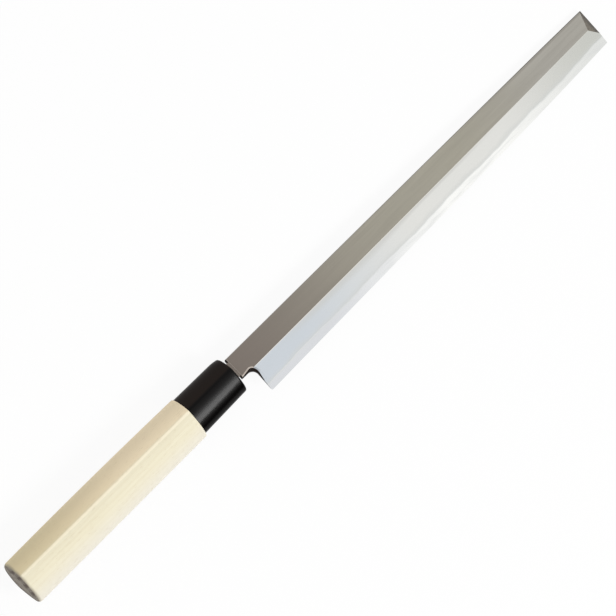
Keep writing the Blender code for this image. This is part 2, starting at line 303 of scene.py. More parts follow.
# Magnolia handle: pale straight-grained wood, with its end grain bare at the butt
handleShape = {
    "toSpine": 0.0117,
    "spineSideBelly": 0.00045,
    "toEdgeAtButt": 0.0125,
    "toEdgeAtFerrule": 0.0117,
    "buttRounding": 0.0021,
    "endGrainShare": 0.25,      # of that rounding, which shows end grain
    "frontRounding": 0.0005,
    "roundingSteps": 8,
    "sections": 24,
    "fit": 0.0003,              # glued and burnt-in clearances
}

magnolia = {
    "pale": tone(237, 231, 207),
    "warm": tone(225, 215, 184),
    "shadeTintAtButt": tone(225, 208, 167),     # painted shade: the facet towards the spine is warmer and darker, as in shade
    "shadeTintAtFerrule": tone(248, 229, 195),
    "shadeTintUntil": 0.8,                      # share of the length over which it changes
    "shadeTintFrom": (0.0010, 0.0040),
    "edgeSideShade": tone(229, 224, 211),        # painted shade: greyer along the edge's side, most at its rim
    "edgeSideShadeFrom": (-0.0030, -0.0130),
    "edgeSideShadeShare": 0.9,
    "ridgeHighlight": tone(252, 244, 220),       # painted highlight: a pale line along the ridge
    "ridgeHighlightShare": 0.5,
    "ridgeMiddle": 0.0021,
    "ridgeReach": (0.0004, 0.0009),
    "pore": tone(200, 181, 142),
    "poreShare": 0.45,
    "poreFrom": (0.66, 0.74),
    "buttGrey": tone(158, 150, 133),          # greyer over the rounding at the butt
    "buttGreyFrom": (0.0021, 0.0002),
    "buttGreyWaver": 0.002,
    "endPale": tone(170, 163, 152),
    "endDark": tone(112, 103, 95),
    "endSpot": tone(100, 90, 83),           # a row of spots where the end rounds over to the facets
    "rimHeight": 0.0083,
    "rimMiddle": 0.0008,
    "rimSlope": 0.30,
    "spotsBelowRim": (0.0060, 0.0015),
    "spotsWithin": (0.0010, 0.0002),        # and this far from the end
    "spotSpacing": 0.0045,
    "spotStart": 0.0054,
    "spotEdge": (-0.6, 1),                  # the part of each wave that darkens to a spot
    "betweenSpots": 0.3,                    # how dark the row is between them
    "spotWander": 0.003,
    "spotUnevenness": 0.008,                # how unequally far down the spots reach
    "endBorder": (-0.0015, -0.0055),        # the end darkens down to the rim of the back
    "endBorderShare": 0.55,
    "ringSpacing": 0.0017,
    "pith": (0, -0.035, -0.055),            # the tree's heart, beyond the handle's back
}


def growthRings(finish, wood, place, wobble):
    fromPith = finish.node("VectorMath", {"operation": "SUBTRACT"}, {0: place, 1: wood["pith"]})
    across = finish.stretch(fromPith, (0, 1, 1))
    radius = finish.node("VectorMath", {"operation": "LENGTH"}, {0: across}, output=1)
    return finish.calculate("SINE", radius * (2 * math.pi / wood["ringSpacing"]) + wobble)


def endSpots(finish, wood, x, y, z):
    wander = finish.noise(finish.place(), (0, 300, 240)) - 0.5
    belowRim = wood["rimHeight"] - z - finish.distance(y, wood["rimMiddle"]) * wood["rimSlope"]
    belowRim = belowRim + wander * wood["spotUnevenness"]
    row = finish.ramp(belowRim, *wood["spotsBelowRim"]) * finish.ramp(x, *wood["spotsWithin"])
    wandered = y - wood["spotStart"] + wander * wood["spotWander"]
    wave = finish.calculate("SINE", wandered * (2 * math.pi / wood["spotSpacing"]))
    return row * between(wood["betweenSpots"], 1, finish.ramp(wave, *wood["spotEdge"]))


def makeMagnolia(wood):
    finish = newFinish("magnolia")
    place = finish.place()
    x, y, z = finish.along(place)
    drift = finish.noise(place, (7, 60, 60))
    fibre = finish.noise(place, (55, 2400, 2400), detail=3)
    cloud = finish.noise(place, (22, 110, 110))
    pores = finish.ramp(finish.noise(place, (330, 6000, 6000), detail=1), *wood["poreFrom"])
    rings = growthRings(finish, wood, place, drift * 14)
    grain = 0.42 + rings * 0.10 + (fibre - 0.5) * 0.75 + (cloud - 0.5) * 0.6
    colour = finish.mix(grain, wood["pale"], wood["warm"])
    # Painted shade: a warmer, darker tint on the facet towards the spine, which turns from the key
    # light
    ferruleward = finish.ramp(x, 0, jointX * wood["shadeTintUntil"])
    shadeTint = finish.mix(ferruleward, wood["shadeTintAtButt"], wood["shadeTintAtFerrule"])
    shadeTintShare = finish.ramp(y, *wood["shadeTintFrom"]) * (1.05 - grain * 0.4)
    colour = finish.mix(shadeTintShare, colour, shadeTint)
    # Painted shade: greyer towards the rim on the edge's side
    edgeSideShade = finish.ramp(y, *wood["edgeSideShadeFrom"]) * wood["edgeSideShadeShare"]
    colour = finish.mix(edgeSideShade, colour, wood["edgeSideShade"])
    # Painted highlight along the ridge
    ridge = finish.around(y, wood["ridgeMiddle"], wood["ridgeReach"])
    ridge = ridge * finish.ramp(z, 0, handleHigh.z) * wood["ridgeHighlightShare"]
    colour = finish.mix(ridge, colour, wood["ridgeHighlight"])
    colour = finish.mix(pores * wood["poreShare"], colour, wood["pore"])
    buttGrey = finish.ramp(x - (cloud - 0.5) * wood["buttGreyWaver"], *wood["buttGreyFrom"])
    colour = finish.mix(buttGrey, colour, wood["buttGrey"])
    colour = finish.mix(endSpots(finish, wood, x, y, z), colour, wood["endSpot"])
    return finish.surface({
        "Base Color": colour,
        "Roughness": 0.52 + fibre * 0.16,
        "Specular IOR Level": 0.3,
        "Normal": finish.bump(fibre * 0.6 + rings * 0.1 - pores * 0.5, 0.00005),
    })


def makeEndGrain(wood):
    finish = newFinish("magnolia_end_grain")
    place = finish.place()
    x, y, z = finish.along(place)
    cloud = finish.noise(place, (300, 420, 420), detail=3)
    speck = finish.noise(place, (300, 2600, 2600))
    rings = growthRings(finish, wood, place, cloud * 2)
    grain = 0.45 + rings * 0.16 + (cloud - 0.5) * 1.5 + (speck - 0.5) * 0.6
    colour = finish.mix(grain, wood["endPale"], wood["endDark"])
    aboveBack = z - finish.distance(y, 0) * wood["rimSlope"]
    border = finish.ramp(aboveBack, *wood["endBorder"]) * wood["endBorderShare"]
    colour = finish.mix(border, colour, wood["endSpot"])
    return finish.surface({
        "Base Color": finish.mix(endSpots(finish, wood, x, y, z), colour, wood["endSpot"]),
        "Roughness": 0.75,
        "Specular IOR Level": 0.2,
        "Normal": finish.bump(rings * 0.3 + speck, 0.00008),
    })


def handleOutline(x, inset):
    shape = handleShape
    share = x / jointX
    toSpine = shape["toSpine"] + shape["spineSideBelly"] * bulge(share)
    toEdge = between(shape["toEdgeAtButt"], shape["toEdgeAtFerrule"], share)
    return dOutline(toSpine, toEdge, handleHigh.z, -handleLow.z, inset)


def makeHandle(shape):
    steps = shape["roundingSteps"]
    rings = roundedEnd(0, shape["buttRounding"], steps, handleOutline, 1)
    for i in range(1, shape["sections"]):
        x = jointX * i / shape["sections"]
        rings.append(at(x, handleOutline(x, 0)))
    rings += roundedEnd(jointX, shape["frontRounding"], steps, handleOutline, -1)[::-1]
    tenon = ferruleOutline(ferruleFrontX, ferruleShape["wall"] + shape["fit"])
    rings += [at(jointX, tenon), at(ferruleFrontX, tenon)]
    handle = loft("handleWood", rings)
    holeEndX = ironLow.x - tangShape["endGap"]
    holeFrontX = ferruleFrontX + bladeShape["margin"]
    hole = loft("tangHole", tangRings(holeEndX, holeFrontX, shape["fit"]))
    carve(handle, [hole])
    settle(handle)
    discard([hole])
    finishes = {"side": makeMagnolia(magnolia), "end": makeEndGrain(magnolia)}
    buttX = shape["buttRounding"] * shape["endGrainShare"]

    def chooseFinish(face):
        atEnd = face.center.x < buttX or face.center.x > jointX
        return "end" if atEnd and abs(face.normal.x) > 0.7 else "side"

    dress(handle, "handle", finishes, chooseFinish)


# Black ferrule: polished horn, a little smaller than the wood, tapering to its rounded front rim
ferruleShape = {
    "toSpineAtWood": 0.0111,
    "toSpineAtFront": 0.0109,
    "toEdgeAtWood": 0.01045,
    "toEdgeAtFront": 0.0096,
    "crestDrop": 0.0004,        # from the wood to the front, as the back rises
    "spineEasing": 0.0006,      # how far the spine side curves in at the front
    "easedLength": 0.0055,
    "easedSections": 12,
    "wall": 0.0024,
    "frontRounding": 0.0009,
    "rearRounding": 0.0002,
    "roundingSteps": 8,
}

horn = {
    "black": tone(6, 5, 5),
    "streak": tone(14, 12, 11),
    "brownAndReflection": tone(30, 23, 19),      # brownish horn, lightened on the facet towards the spine as a painted reflection of the room
    "brownAndReflectionFrom": (0.0028, 0.0042),
    "wornFrom": (-0.0050, 0.0010),  # polished, then worn duller by the fingers up to the ridge
}


def makeHorn(look):
    finish = newFinish("black_horn")
    place = finish.place()
    x, y, z = finish.along(place)
    streaks = finish.noise(place, (28, 700, 700), detail=3)
    polish = finish.noise(place, (90, 2600, 2600))
    colour = finish.mix(finish.ramp(streaks, 0.45, 0.75), look["black"], look["streak"])
    # Painted reflection: the room's light on the facet towards the spine, with the horn's brownish
    # tone
    colour = finish.mix(finish.ramp(y, *look["brownAndReflectionFrom"]), colour, look["brownAndReflection"])
    return finish.surface({
        "Base Color": colour,
        "Roughness": 0.15 + polish * 0.08 + finish.ramp(y, *look["wornFrom"]) * 0.14,
        "Specular IOR Level": 0.09,
        "Normal": finish.bump(polish, 0.000006),
    })


def ferruleOutline(x, inset):
    shape = ferruleShape
    share = (x - jointX) / (ferruleFrontX - jointX)
    drop = shape["crestDrop"] * share
    eased = max(x - ferruleFrontX + shape["easedLength"], 0) / shape["easedLength"]
    toSpine = between(shape["toSpineAtWood"], shape["toSpineAtFront"], share)
    toSpine = toSpine - shape["spineEasing"] * eased ** 2
    toEdge = between(shape["toEdgeAtWood"], shape["toEdgeAtFront"], share)
    return dOutline(toSpine, toEdge, ferruleHigh.z - drop, -ferruleLow.z - drop, inset)


def makeFerrule(shape):
    steps = shape["roundingSteps"]
    rings = roundedEnd(jointX, shape["rearRounding"], steps, ferruleOutline, 1)
    easedX = ferruleFrontX - shape["easedLength"]
    roundedX = ferruleFrontX - shape["frontRounding"]
    for i in range(shape["easedSections"]):
        x = between(easedX, roundedX, i / shape["easedSections"])
        rings.append(at(x, ferruleOutline(x, 0)))
    rings += roundedEnd(ferruleFrontX, shape["frontRounding"], steps, ferruleOutline, -1)[::-1]
    bore = ferruleOutline(ferruleFrontX, shape["wall"])
    rings += [at(ferruleFrontX, bore), at(jointX, bore)]
    ferrule = loft("ferruleHorn", rings, tube=True)
    dress(ferrule, "ferrule", {"horn": makeHorn(horn)}, lambda face: "horn")


# Blade: soft iron over a hard steel back, ground on one side and hollow on the other
bladeShape = {
    "neckLength": 0.0068,
    "neckHeightAtShoulder": 0.01238,
    "neckHeightAtChoil": 0.01236,
    "heightAtHeel": 0.0259,
    "heightAtTip": 0.0204,
    "edgeBelly": 0.0006,
    "flatAtHeel": 0.01203,
    "flatAtTip": 0.0097,
    "shinogiBelly": 0.0003,
    "tipRake": 0.0006,
    "thicknessAtTip": 0.0023,
    "edgeThickness": 0.0001,
    "spineRounding": 0.0004,
    "spineDropAtTip": 0.00022,
    "spineDropFrom": 0.8,       # share of the blade's length where the drop to the tip begins
    "spineDropAtHeel": 0.0002,
    "spineDropUntil": 0.6,      # and where the drop at the heel has run out
    "shoulderRounding": 0.0006,
    "hollowDepth": 0.00035,
    "rimAtEdge": 0.0012,
    "rimAtSpine": 0.0022,
    "hollowEndMargin": 0.0030,
    "hollowRunOut": 0.0120,
    "hollowEndWidth": 0.4,      # share of its width left where it runs out
    "tipFacetAtSpine": 0.0005,
    "tipFacetAtShinogi": 0.0036,
    "tipFacetSlope": 11,        # degrees
    "sections": 165,
    "hollowPoints": 23,
    "roundingSteps": 6,
    "margin": 0.010,            # how far cutters reach past the metal
}

weldShape = {
    "wander": 0.00009,          # how far the weld dips from its plane, at most twice this
    "waves": (                  # length, start and share of each
        (0.0517, 0.2174, 1.0),
        (0.0151, 0.0030, 0.35),
        (0.0067, 0.0010, 0.2),
    ),
}
mostWave = sum(share for length, start, share in weldShape["waves"])

heelX = shoulderX + bladeShape["neckLength"]
tipX = steelHigh.x - bladeShape["tipRake"]
spineY = steelHigh.y
backZ = steelLow.z
weldZ = steelHigh.z
neckRearY = spineY - bladeShape["neckHeightAtShoulder"]
neckFootY = spineY - bladeShape["neckHeightAtChoil"]


def bladeShare(x):                              # 0 at the heel, 1 at the tip
    return (x - heelX) / (tipX - heelX)


def edgeY(x):                                   # bellied most at two thirds of its length
    shape = bladeShape
    share = bladeShare(x)
    belly = shape["edgeBelly"] * 27 / 4 * share ** 2 * (1 - share)
    return spineY - between(shape["heightAtHeel"], shape["heightAtTip"], share) - belly


def shinogiY(x):
    shape = bladeShape
    share = bladeShare(x)
    belly = shape["shinogiBelly"] * bulge(share)
    return spineY - between(shape["flatAtHeel"], shape["flatAtTip"], share) - belly


def flatZ(x):
    share = (x - shoulderX) / (tipX - shoulderX)
    return backZ + between(ironHigh.z - backZ, bladeShape["thicknessAtTip"], share)


def weldAt(x):                                  # its level, and where it comes out on the bevel
    wave = sum(share * math.sin(2 * math.pi * (x - start) / length)
               for length, start, share in weldShape["waves"])
    level = weldZ + weldShape["wander"] * (wave / mostWave - 1)
    low = backZ + bladeShape["edgeThickness"]
    return level, between(edgeY(x), shinogiY(x), (level - low) / (flatZ(x) - low))


def shoulderDrop(x):                            # how far the metal rounds off at the shoulder
    radius = bladeShape["shoulderRounding"]
    share = min(max((x - shoulderX) / radius, 0), 1)
    return radius * (1 - math.sqrt(share * (2 - share)))


def spineAt(x):                                 # nearly straight, a little lower at both ends
    shape = bladeShape
    nearTip = max(bladeShare(x) - shape["spineDropFrom"], 0) / (1 - shape["spineDropFrom"])
    nearHeel = min(max(1 - bladeShare(x) / shape["spineDropUntil"], 0), 1)
    drop = shape["spineDropAtTip"] * nearTip ** 2 + shape["spineDropAtHeel"] * nearHeel
    return spineY - shoulderDrop(x) - drop


def spineCorner(x, middleZ, firstAngle):
    radius = bladeShape["spineRounding"]
    middleY = spineAt(x) - radius
    points = []
    for turned in quarterTurn(bladeShape["roundingSteps"]):
        angle = math.radians(firstAngle) + turned
        points.append((middleY + radius * math.cos(angle), middleZ + radius * math.sin(angle)))
    return points


def hollowOutline(x):
    shape = bladeShape
    toHeel = x - heelX - shape["hollowEndMargin"]
    toTip = tipX - shape["hollowEndMargin"] - x
    run = min(max(min(toHeel, toTip) / shape["hollowRunOut"], 0), 1)
    share = math.sin(math.radians(90) * run) ** 2
    edgeRim = edgeY(x) + shape["rimAtEdge"]
    spineRim = spineY - shape["rimAtSpine"]
    middle = (edgeRim + spineRim) / 2
    half = (spineRim - edgeRim) / 2 * between(shape["hollowEndWidth"], 1, share)
    outline = []
    for i in range(shape["hollowPoints"] + 2):
        across = 2 * i / (shape["hollowPoints"] + 1) - 1
        depth = shape["hollowDepth"] * share * (1 - across ** 2)
        outline.append((middle + half * across, backZ + depth))
    return outline


def ironOutline(x):
    level, weldY = weldAt(x)
    top = flatZ(x) - shoulderDrop(x)
    corner = spineCorner(x, top - bladeShape["spineRounding"], 0)
    return [(spineAt(x), level)] + corner + [(shinogiY(x), top), (weldY, level)]


def steelOutline(x):
    level, weldY = weldAt(x)
    corner = spineCorner(x, backZ + bladeShape["spineRounding"], -90)
    edge = [(edgeY(x), backZ + bladeShape["edgeThickness"]), (edgeY(x), backZ)]
    return [(spineAt(x), level), (weldY, level)] + edge + hollowOutline(x) + corner


# Tang: a flat bar burnt into the wood, seen only in the gap behind the shoulders
tangShape = {
    "shoulderBySpine": 0.0020,
    "shoulderByEdge": 0.0019,
    "thickness": 0.0028,
    "endHeight": 0.0050,
    "endThickness": 0.0020,
    "endTaper": 0.0020,
    "endGap": 0.0008,           # left free at the bottom of its hole
    "rootOverlap": 0.0020,
}
tangTopY = spineY - tangShape["shoulderBySpine"]
tangFootY = neckRearY + tangShape["shoulderByEdge"]


def tangRing(x, height, thickness, grow):
    middle = (tangTopY + tangFootY) / 2
    halfHeight = height / 2 + grow
    halfThickness = thickness / 2 + grow
    corners = ((1, 1), (-1, 1), (-1, -1), (1, -1))
    return [Vector((x, middle + halfHeight * y, halfThickness * z)) for y, z in corners]


def tangRings(rearX, frontX, grow):
    shape = tangShape
    rootHeight = tangTopY - tangFootY
    endHeight = shape["endHeight"] - shape["endTaper"]
    return [
        tangRing(rearX, endHeight, shape["endThickness"], grow),
        tangRing(rearX + shape["endTaper"], shape["endHeight"], shape["endThickness"], grow),
        tangRing(shoulderX, rootHeight, shape["thickness"], grow),
        tangRing(frontX, rootHeight, shape["thickness"], grow),
    ]


# Choil: the notch between neck and heel, with a chamfer that runs out on the bevel
choilShape = {
    "radius": 0.0035,
    "chamferAtShoulder": 0.0006,
    "chamferAtChoil": 0.00115,
    "chamferRunOut": 2 / 3,     # share of the bevel's width down which the chamfer runs out
    "chamferToWeld": 0.0003,    # it ends this far above the weld
    "chamferLeast": 0.00006,    # left where it has run out
    "cornerSpread": 1.5,        # how much flatter and wider it is in the corner of the fillet
    "lipDepth": 0.00005,        # a fine bright facet beside the chamfer
    "lipWidth": 0.00035,
    "heelRake": 0.0005,
    "heelRounding": 0.0010,
    "filletPoints": 24,
    "wallPoints": 12,
}


def choilOutline(shape):                        # its points, each with the way its chamfer leans
    heelY = edgeY(heelX)
    footY = heelY - bladeShape["margin"]
    upward = Vector((0, 1, 0))
    forward = Vector((1, 0, 0))
    outline = [(Vector((ferruleFrontX, footY, 0)), Vector())]
    outline += [(Vector((x, neckRearY, 0)), upward) for x in (ferruleFrontX, shoulderX)]

    # Fillet under the neck
    middle = Vector((heelX + shape["heelRake"] - shape["radius"], neckFootY - shape["radius"], 0))
    for angle in quarterTurn(shape["filletPoints"]):
        outward = forward * math.sin(angle) + upward * math.cos(angle)
        outline.append((middle + outward * shape["radius"], outward))

    # Wall, which leans back to the heel and rounds its corner
    top = Vector((heelX + shape["heelRake"], middle.y, 0))
    turn = Vector((heelX, heelY + shape["heelRounding"], 0))
    for i in range(1, shape["wallPoints"]):
        outline.append((top.lerp(turn, i / shape["wallPoints"]), forward))
    for angle in quarterTurn(bladeShape["roundingSteps"]):
        corner = forward * (1 - math.cos(angle)) - upward * math.sin(angle)
        outline.append((turn + corner * shape["heelRounding"], forward))
    outline.append((Vector((heelX + shape["heelRounding"], footY, 0)), forward))
    return outline


def choilTool(shape):
    margin = bladeShape["margin"]
    lip = shape["lipDepth"]
    bevelWidth = shinogiY(heelX) - edgeY(heelX)
    rings = [[], [], [], [], []]
    for point, outward in choilOutline(shape):
        depth = shape["chamferAtChoil"] if point.x > shoulderX else shape["chamferAtShoulder"]
        downBevel = max((shinogiY(heelX) - point.y) / bevelWidth, 0)
        depth = depth * max(1 - downBevel / shape["chamferRunOut"], 0)
        ground = between(flatZ(heelX), backZ + bladeShape["edgeThickness"], downBevel)
        start = max(ground - depth, weldZ + shape["chamferToWeld"])
        ground = max(ground, start + shape["chamferLeast"])
        spread = 1 + shape["cornerSpread"] * outward.x * outward.y ** 2
        chamfered = (ground - lip - start) * spread
        opened = chamfered + shape["lipWidth"] * 2      # the lip leans on above the ground face
        levels = (backZ - margin, start, ground - lip, ground + lip, ground + margin)
        for ring, level, grow in zip(rings, levels, (0, 0, chamfered, opened, opened)):
            ring.append(point + outward * grow + Vector((0, 0, level)))
    return loft("choilTool", rings)


def planeTool(name, point, normal):
    size = bladeShape["heightAtHeel"] * 3
    tool = box(name, (-size, -size, 0), (size, size, size))
    turn = Vector(normal).to_track_quat("Z", "Y").to_matrix().to_4x4()
    tool.matrix_world = Matrix.Translation(point) @ turn
    return tool


def tipTool():
    normal = (bladeShape["heightAtTip"], -bladeShape["tipRake"], 0)
    return planeTool("tipTool", Vector((tipX, edgeY(tipX), 0)), normal)


def tipFacetTool():
    shape = bladeShape
    innerX = tipX - shape["tipFacetAtShinogi"]
    inner = Vector((innerX, shinogiY(innerX), flatZ(innerX)))
    outerX = tipX + shape["tipRake"] - shape["tipFacetAtSpine"]
    border = Vector((outerX, spineY, flatZ(outerX))) - inner
    outward = Vector((0, 0, 1))
    downSlope = border.cross(outward).normalized()
    slope = math.radians(shape["tipFacetSlope"])
    normal = downSlope * math.sin(slope) + outward * math.cos(slope)
    return planeTool("tipFacetTool", inner, normal)


# The metals' colours, with the reflections and shade they show painted into them. Names in
# From and Until give shares of the blade's length between which a colour comes in or goes, names
# in Reach give distances in metres, and names in Share how much of the colour shows.
softIron = {
    # Painted reflection: the flat is darker towards the heel, where it mirrors dark surroundings
    "flatAtHeel": tone(127, 118, 111),
    "flatAtMiddle": tone(168, 164, 151),
    "flatAtTip": tone(173, 170, 162),
    "flatMiddleFrom": (-0.08, 0.5),
    "flatTipFrom": (0.6, 0.9),
    "flatStreak": tone(118, 114, 106),
    "darkReflectionBySpine": tone(132, 127, 118),         # painted dark reflection: the flat darkens along the spine towards the tip
    "darkReflectionBySpineFrom": (0.55, 0.9),
    "darkReflectionBySpineReach": (0.0018, 0.0010),
    "darkReflectionBySpineShare": 0.4,
    # Painted reflection: the bevel is brightest in the middle, where it mirrors the softbox, and
    # bluish at the heel
    "bevelAtHeel": tone(201, 207, 213),
    "bevelAtMiddle": tone(223, 223, 219),
    "bevelAtTip": tone(199, 200, 194),
    "bevelMiddleFrom": (0.08, 0.48),
    "bevelTipFrom": (0.68, 1),
    "haze": tone(206, 208, 206),            # over the weld
    "hazeReach": (0.0005, 0),
    "hazeShare": 0.45,
    "shadeByFlat": tone(200, 200, 196),          # painted shade: the bevel darkens just below the shinogi
    "shadeByFlatFrom": (0.05, 0.2),
    "shadeByFlatUntil": (0.55, 0.75),
    "shadeByFlatReach": (0.0009, 0.0004),        # in the heel's half, and in the tip's
    "shadeByFlatShare": 0.65,
    # Painted highlight: a bright hairline along the shinogi
    "shinogiHighlight": tone(236, 232, 224),
    "shinogiHighlightReach": (0.00009, 0.00002),
    "shinogiHighlightShare": 0.8,
    # Painted dark reflection: the spine darkens towards the tip
    "spineAtHeel": tone(150, 146, 141),
    "spineDarkReflectionAtTip": tone(80, 75, 70),
    "spineDarkReflectionFrom": (0.25, 1),
    # Near-black: the forge's scale, and painted shade and dark reflection on the choil's chamfer
    # and the shoulders
    "scaleAndShade": tone(18, 11, 8),
    "scaleBright": tone(44, 28, 20),
    # Painted dark reflection on the tip's ground facet
    "tipFacet": tone(130, 124, 114),
    "tipFacetDark": tone(96, 93, 90),
    # Painted highlight on the lip beside the choil's chamfer
    "lip": tone(184, 172, 163),
}

hardSteel = {
    # Painted reflection: the band is brightest in the middle, where it mirrors the softbox
    "bandAtHeel": tone(215, 217, 220),
    "bandAtMiddle": tone(250, 250, 247),
    "bandAtTip": tone(225, 226, 223),
    "bandMiddleFrom": (0.15, 0.55),
    "bandTipFrom": (0.62, 1),
    "bandCloud": tone(212, 214, 214),
    "atWeld": tone(214, 216, 214),
    "atWeldReach": (0.00018, 0),
    "atWeldShare": 0.8,
    "rim": tone(196, 197, 198),
    "hollow": tone(150, 150, 149),
    "hollowDark": tone(122, 122, 122),
    "hollowReach": (0.000002, 0.00004),     # above the rim's level
}


def bladePart(finish, x, start, end):           # 0 to 1 between two shares of the blade's length
    return finish.ramp(x, between(heelX, tipX, start), between(heelX, tipX, end))


def bladeColour(finish, x, look, side):         # a side's colour from the heel to the tip
    middle = bladePart(finish, x, *look[side + "MiddleFrom"])
    colour = finish.mix(middle, look[side + "AtHeel"], look[side + "AtMiddle"])
    return finish.mix(bladePart(finish, x, *look[side + "TipFrom"]), colour, look[side + "AtTip"])


def weldLevel(finish, x):                       # the level that weldAt gives the metal
    wave = sum(finish.calculate("SINE", (x - start) * (2 * math.pi / length)) * share
               for length, start, share in weldShape["waves"])
    return weldZ + (wave * (1 / mostWave) - 1) * weldShape["wander"]


def makeFlatFinish(look):                       # drawn lengthwise on the stone
    finish = newFinish("iron_flat")
    place = finish.place()
    x, y, z = finish.along(place)
    brush = finish.noise(place, (26, 5200, 5200), detail=3)
    broad = finish.noise(place, (34, 420, 420))
    # Painted reflection: the flat's tone from heel to tip
    colour = bladeColour(finish, x, look, "flat")
    # Painted dark reflection along the spine towards the tip
    darkReflectionBySpine = finish.ramp(spineY - y, *look["darkReflectionBySpineReach"]) * look["darkReflectionBySpineShare"]
    darkReflectionBySpine = darkReflectionBySpine * bladePart(finish, x, *look["darkReflectionBySpineFrom"])
    colour = finish.mix(darkReflectionBySpine, colour, look["darkReflectionBySpine"])
    streak = (brush - 0.5) * 0.5 + (broad - 0.5) * 0.4 + 0.08
    return finish.surface({
        "Base Color": finish.mix(streak, colour, look["flatStreak"]),
        "Metallic": 1.0,
        "Roughness": 0.34 + brush * 0.10,
        "Normal": finish.bump(brush, 0.000004),
    })


def makeBevelFinish(look):                      # stone polish with a faint haze towards the weld
    finish = newFinish("iron_bevel")
    place = finish.place()
    x, y, z = finish.along(place)
    brush = finish.noise(place, (60, 3800, 3800), detail=3)
    cloud = finish.noise(place, (70, 190, 190), detail=3)
    # Painted reflection: the bevel's tone from heel to tip
    colour = bladeColour(finish, x, look, "bevel")
    aboveWeld = z - weldLevel(finish, x) + (cloud - 0.5) * 0.0006
    haze = finish.ramp(aboveWeld, *look["hazeReach"]) * look["hazeShare"]
    colour = finish.mix(haze, colour, look["haze"])
    flatLevel = finish.node("MapRange", None, {0: x, 1: shoulderX, 2: tipX,
                                               3: flatZ(shoulderX), 4: flatZ(tipX)})
    belowFlat = flatLevel - z
    reach = between(*look["shadeByFlatReach"], bladePart(finish, x, 0.3, 0.5))
    # Painted shade just below the shinogi
    shadeByFlat = finish.ramp(belowFlat, reach, 0.0001) * look["shadeByFlatShare"]
    shadeByFlat = shadeByFlat * bladePart(finish, x, *look["shadeByFlatFrom"])
    shadeByFlat = shadeByFlat * (1 - bladePart(finish, x, *look["shadeByFlatUntil"]))
    colour = finish.mix(shadeByFlat, colour, look["shadeByFlat"])
    # Painted highlight along the shinogi, fading towards the tip
    highlight = finish.ramp(belowFlat, *look["shinogiHighlightReach"]) * look["shinogiHighlightShare"]
    highlight = highlight * (1 - bladePart(finish, x, 0, 1) * 0.6)
    colour = finish.mix(highlight, colour, look["shinogiHighlight"])
    return finish.surface({
        "Base Color": colour,
        "Metallic": 1.0,
        "Roughness": 0.11 + brush * 0.04 + cloud * 0.03,
        "Normal": finish.bump(brush, 0.000002),
    })


def makeBandFinish(look):                       # the hard steel that comes out along the edge
    finish = newFinish("steel_band")
    place = finish.place()
    x, y, z = finish.along(place)
    brush = finish.noise(place, (60, 4200, 4200), detail=3)
    cloud = finish.noise(place, (50, 330, 330))
    # Painted reflection: the band's tone from heel to tip
    colour = bladeColour(finish, x, look, "band")
    colour = finish.mix(finish.ramp(cloud, 0.45, 0.8) * 0.5, colour, look["bandCloud"])
    belowWeld = weldLevel(finish, x) - z + (cloud - 0.5) * 0.0002
    atWeld = finish.ramp(belowWeld, *look["atWeldReach"]) * look["atWeldShare"]
    return finish.surface({
        "Base Color": finish.mix(atWeld, colour, look["atWeld"]),
        "Metallic": 1.0,
        "Roughness": 0.10 + brush * 0.05,
        "Normal": finish.bump(brush, 0.000002),
    })


def makeBackFinish(look):                       # bright flat rim round a duller ground hollow
    finish = newFinish("steel_back")
    place = finish.place()
    x, y, z = finish.along(place)
    grind = finish.noise(place, (42, 2600, 2600), detail=3)
    broad = finish.noise(place, (30, 260, 260))
    inHollow = finish.ramp(z - backZ, *look["hollowReach"])
    dull = finish.ramp(grind * 0.6 + broad * 0.4, 0.35, 0.65)
    hollow = finish.mix(dull, look["hollow"], look["hollowDark"])
    return finish.surface({
        "Base Color": finish.mix(inHollow, look["rim"], hollow),
        "Metallic": 1.0,
        "Roughness": 0.12 + inHollow * 0.16 + grind * 0.08,
        "Normal": finish.bump(grind, 0.000004),
    })


def makeSpineFinish(look):
    finish = newFinish("iron_spine")
    place = finish.place()
    x, y, z = finish.along(place)
    brush = finish.noise(place, (60, 3000, 3000), detail=3)
    # Painted dark reflection, growing towards the tip
    tipward = bladePart(finish, x, *look["spineDarkReflectionFrom"])
    colour = finish.mix(tipward, look["spineAtHeel"], look["spineDarkReflectionAtTip"])
    return finish.surface({
        "Base Color": finish.mix(brush * 0.35, colour, look["scaleBright"]),
        "Metallic": 1.0,
        "Roughness": 0.34 + brush * 0.1,
        "Normal": finish.bump(brush, 0.000005),
    })


def makeScaleAndShadeFinish(look):                      # the forge's dark skin on choil, shoulders and tang, its near-black also painted shade and dark reflection
    finish = newFinish("forge_scale_and_shade")
    place = finish.place()
    patch = finish.noise(place, (500, 700, 700), detail=4)
    return finish.surface({
        "Base Color": finish.mix(finish.ramp(patch, 0.4, 0.75), look["scaleAndShade"], look["scaleBright"]),
        "Metallic": 0.35,
        "Roughness": 0.50 + patch * 0.2,
        "Specular IOR Level": 0.2,
        "Normal": finish.bump(patch, 0.00003),
    })


def makeTipFacetFinish(look):                   # painted dark reflection: darker than the flat, and darker still in its last 2 mm
    finish = newFinish("tip_facet")
    place = finish.place()
    x, y, z = finish.along(place)
    brush = finish.noise(place, (900, 2200, 2200), detail=3)
    dark = finish.ramp(x, tipX - 0.0020, tipX) * 0.6 + finish.ramp(brush, 0.35, 0.7) * 0.5
    return finish.surface({
        "Base Color": finish.mix(dark, look["tipFacet"], look["tipFacetDark"]),
        "Metallic": 1.0,
        "Roughness": 0.34 + brush * 0.1,
        "Normal": finish.bump(brush, 0.000004),
    })


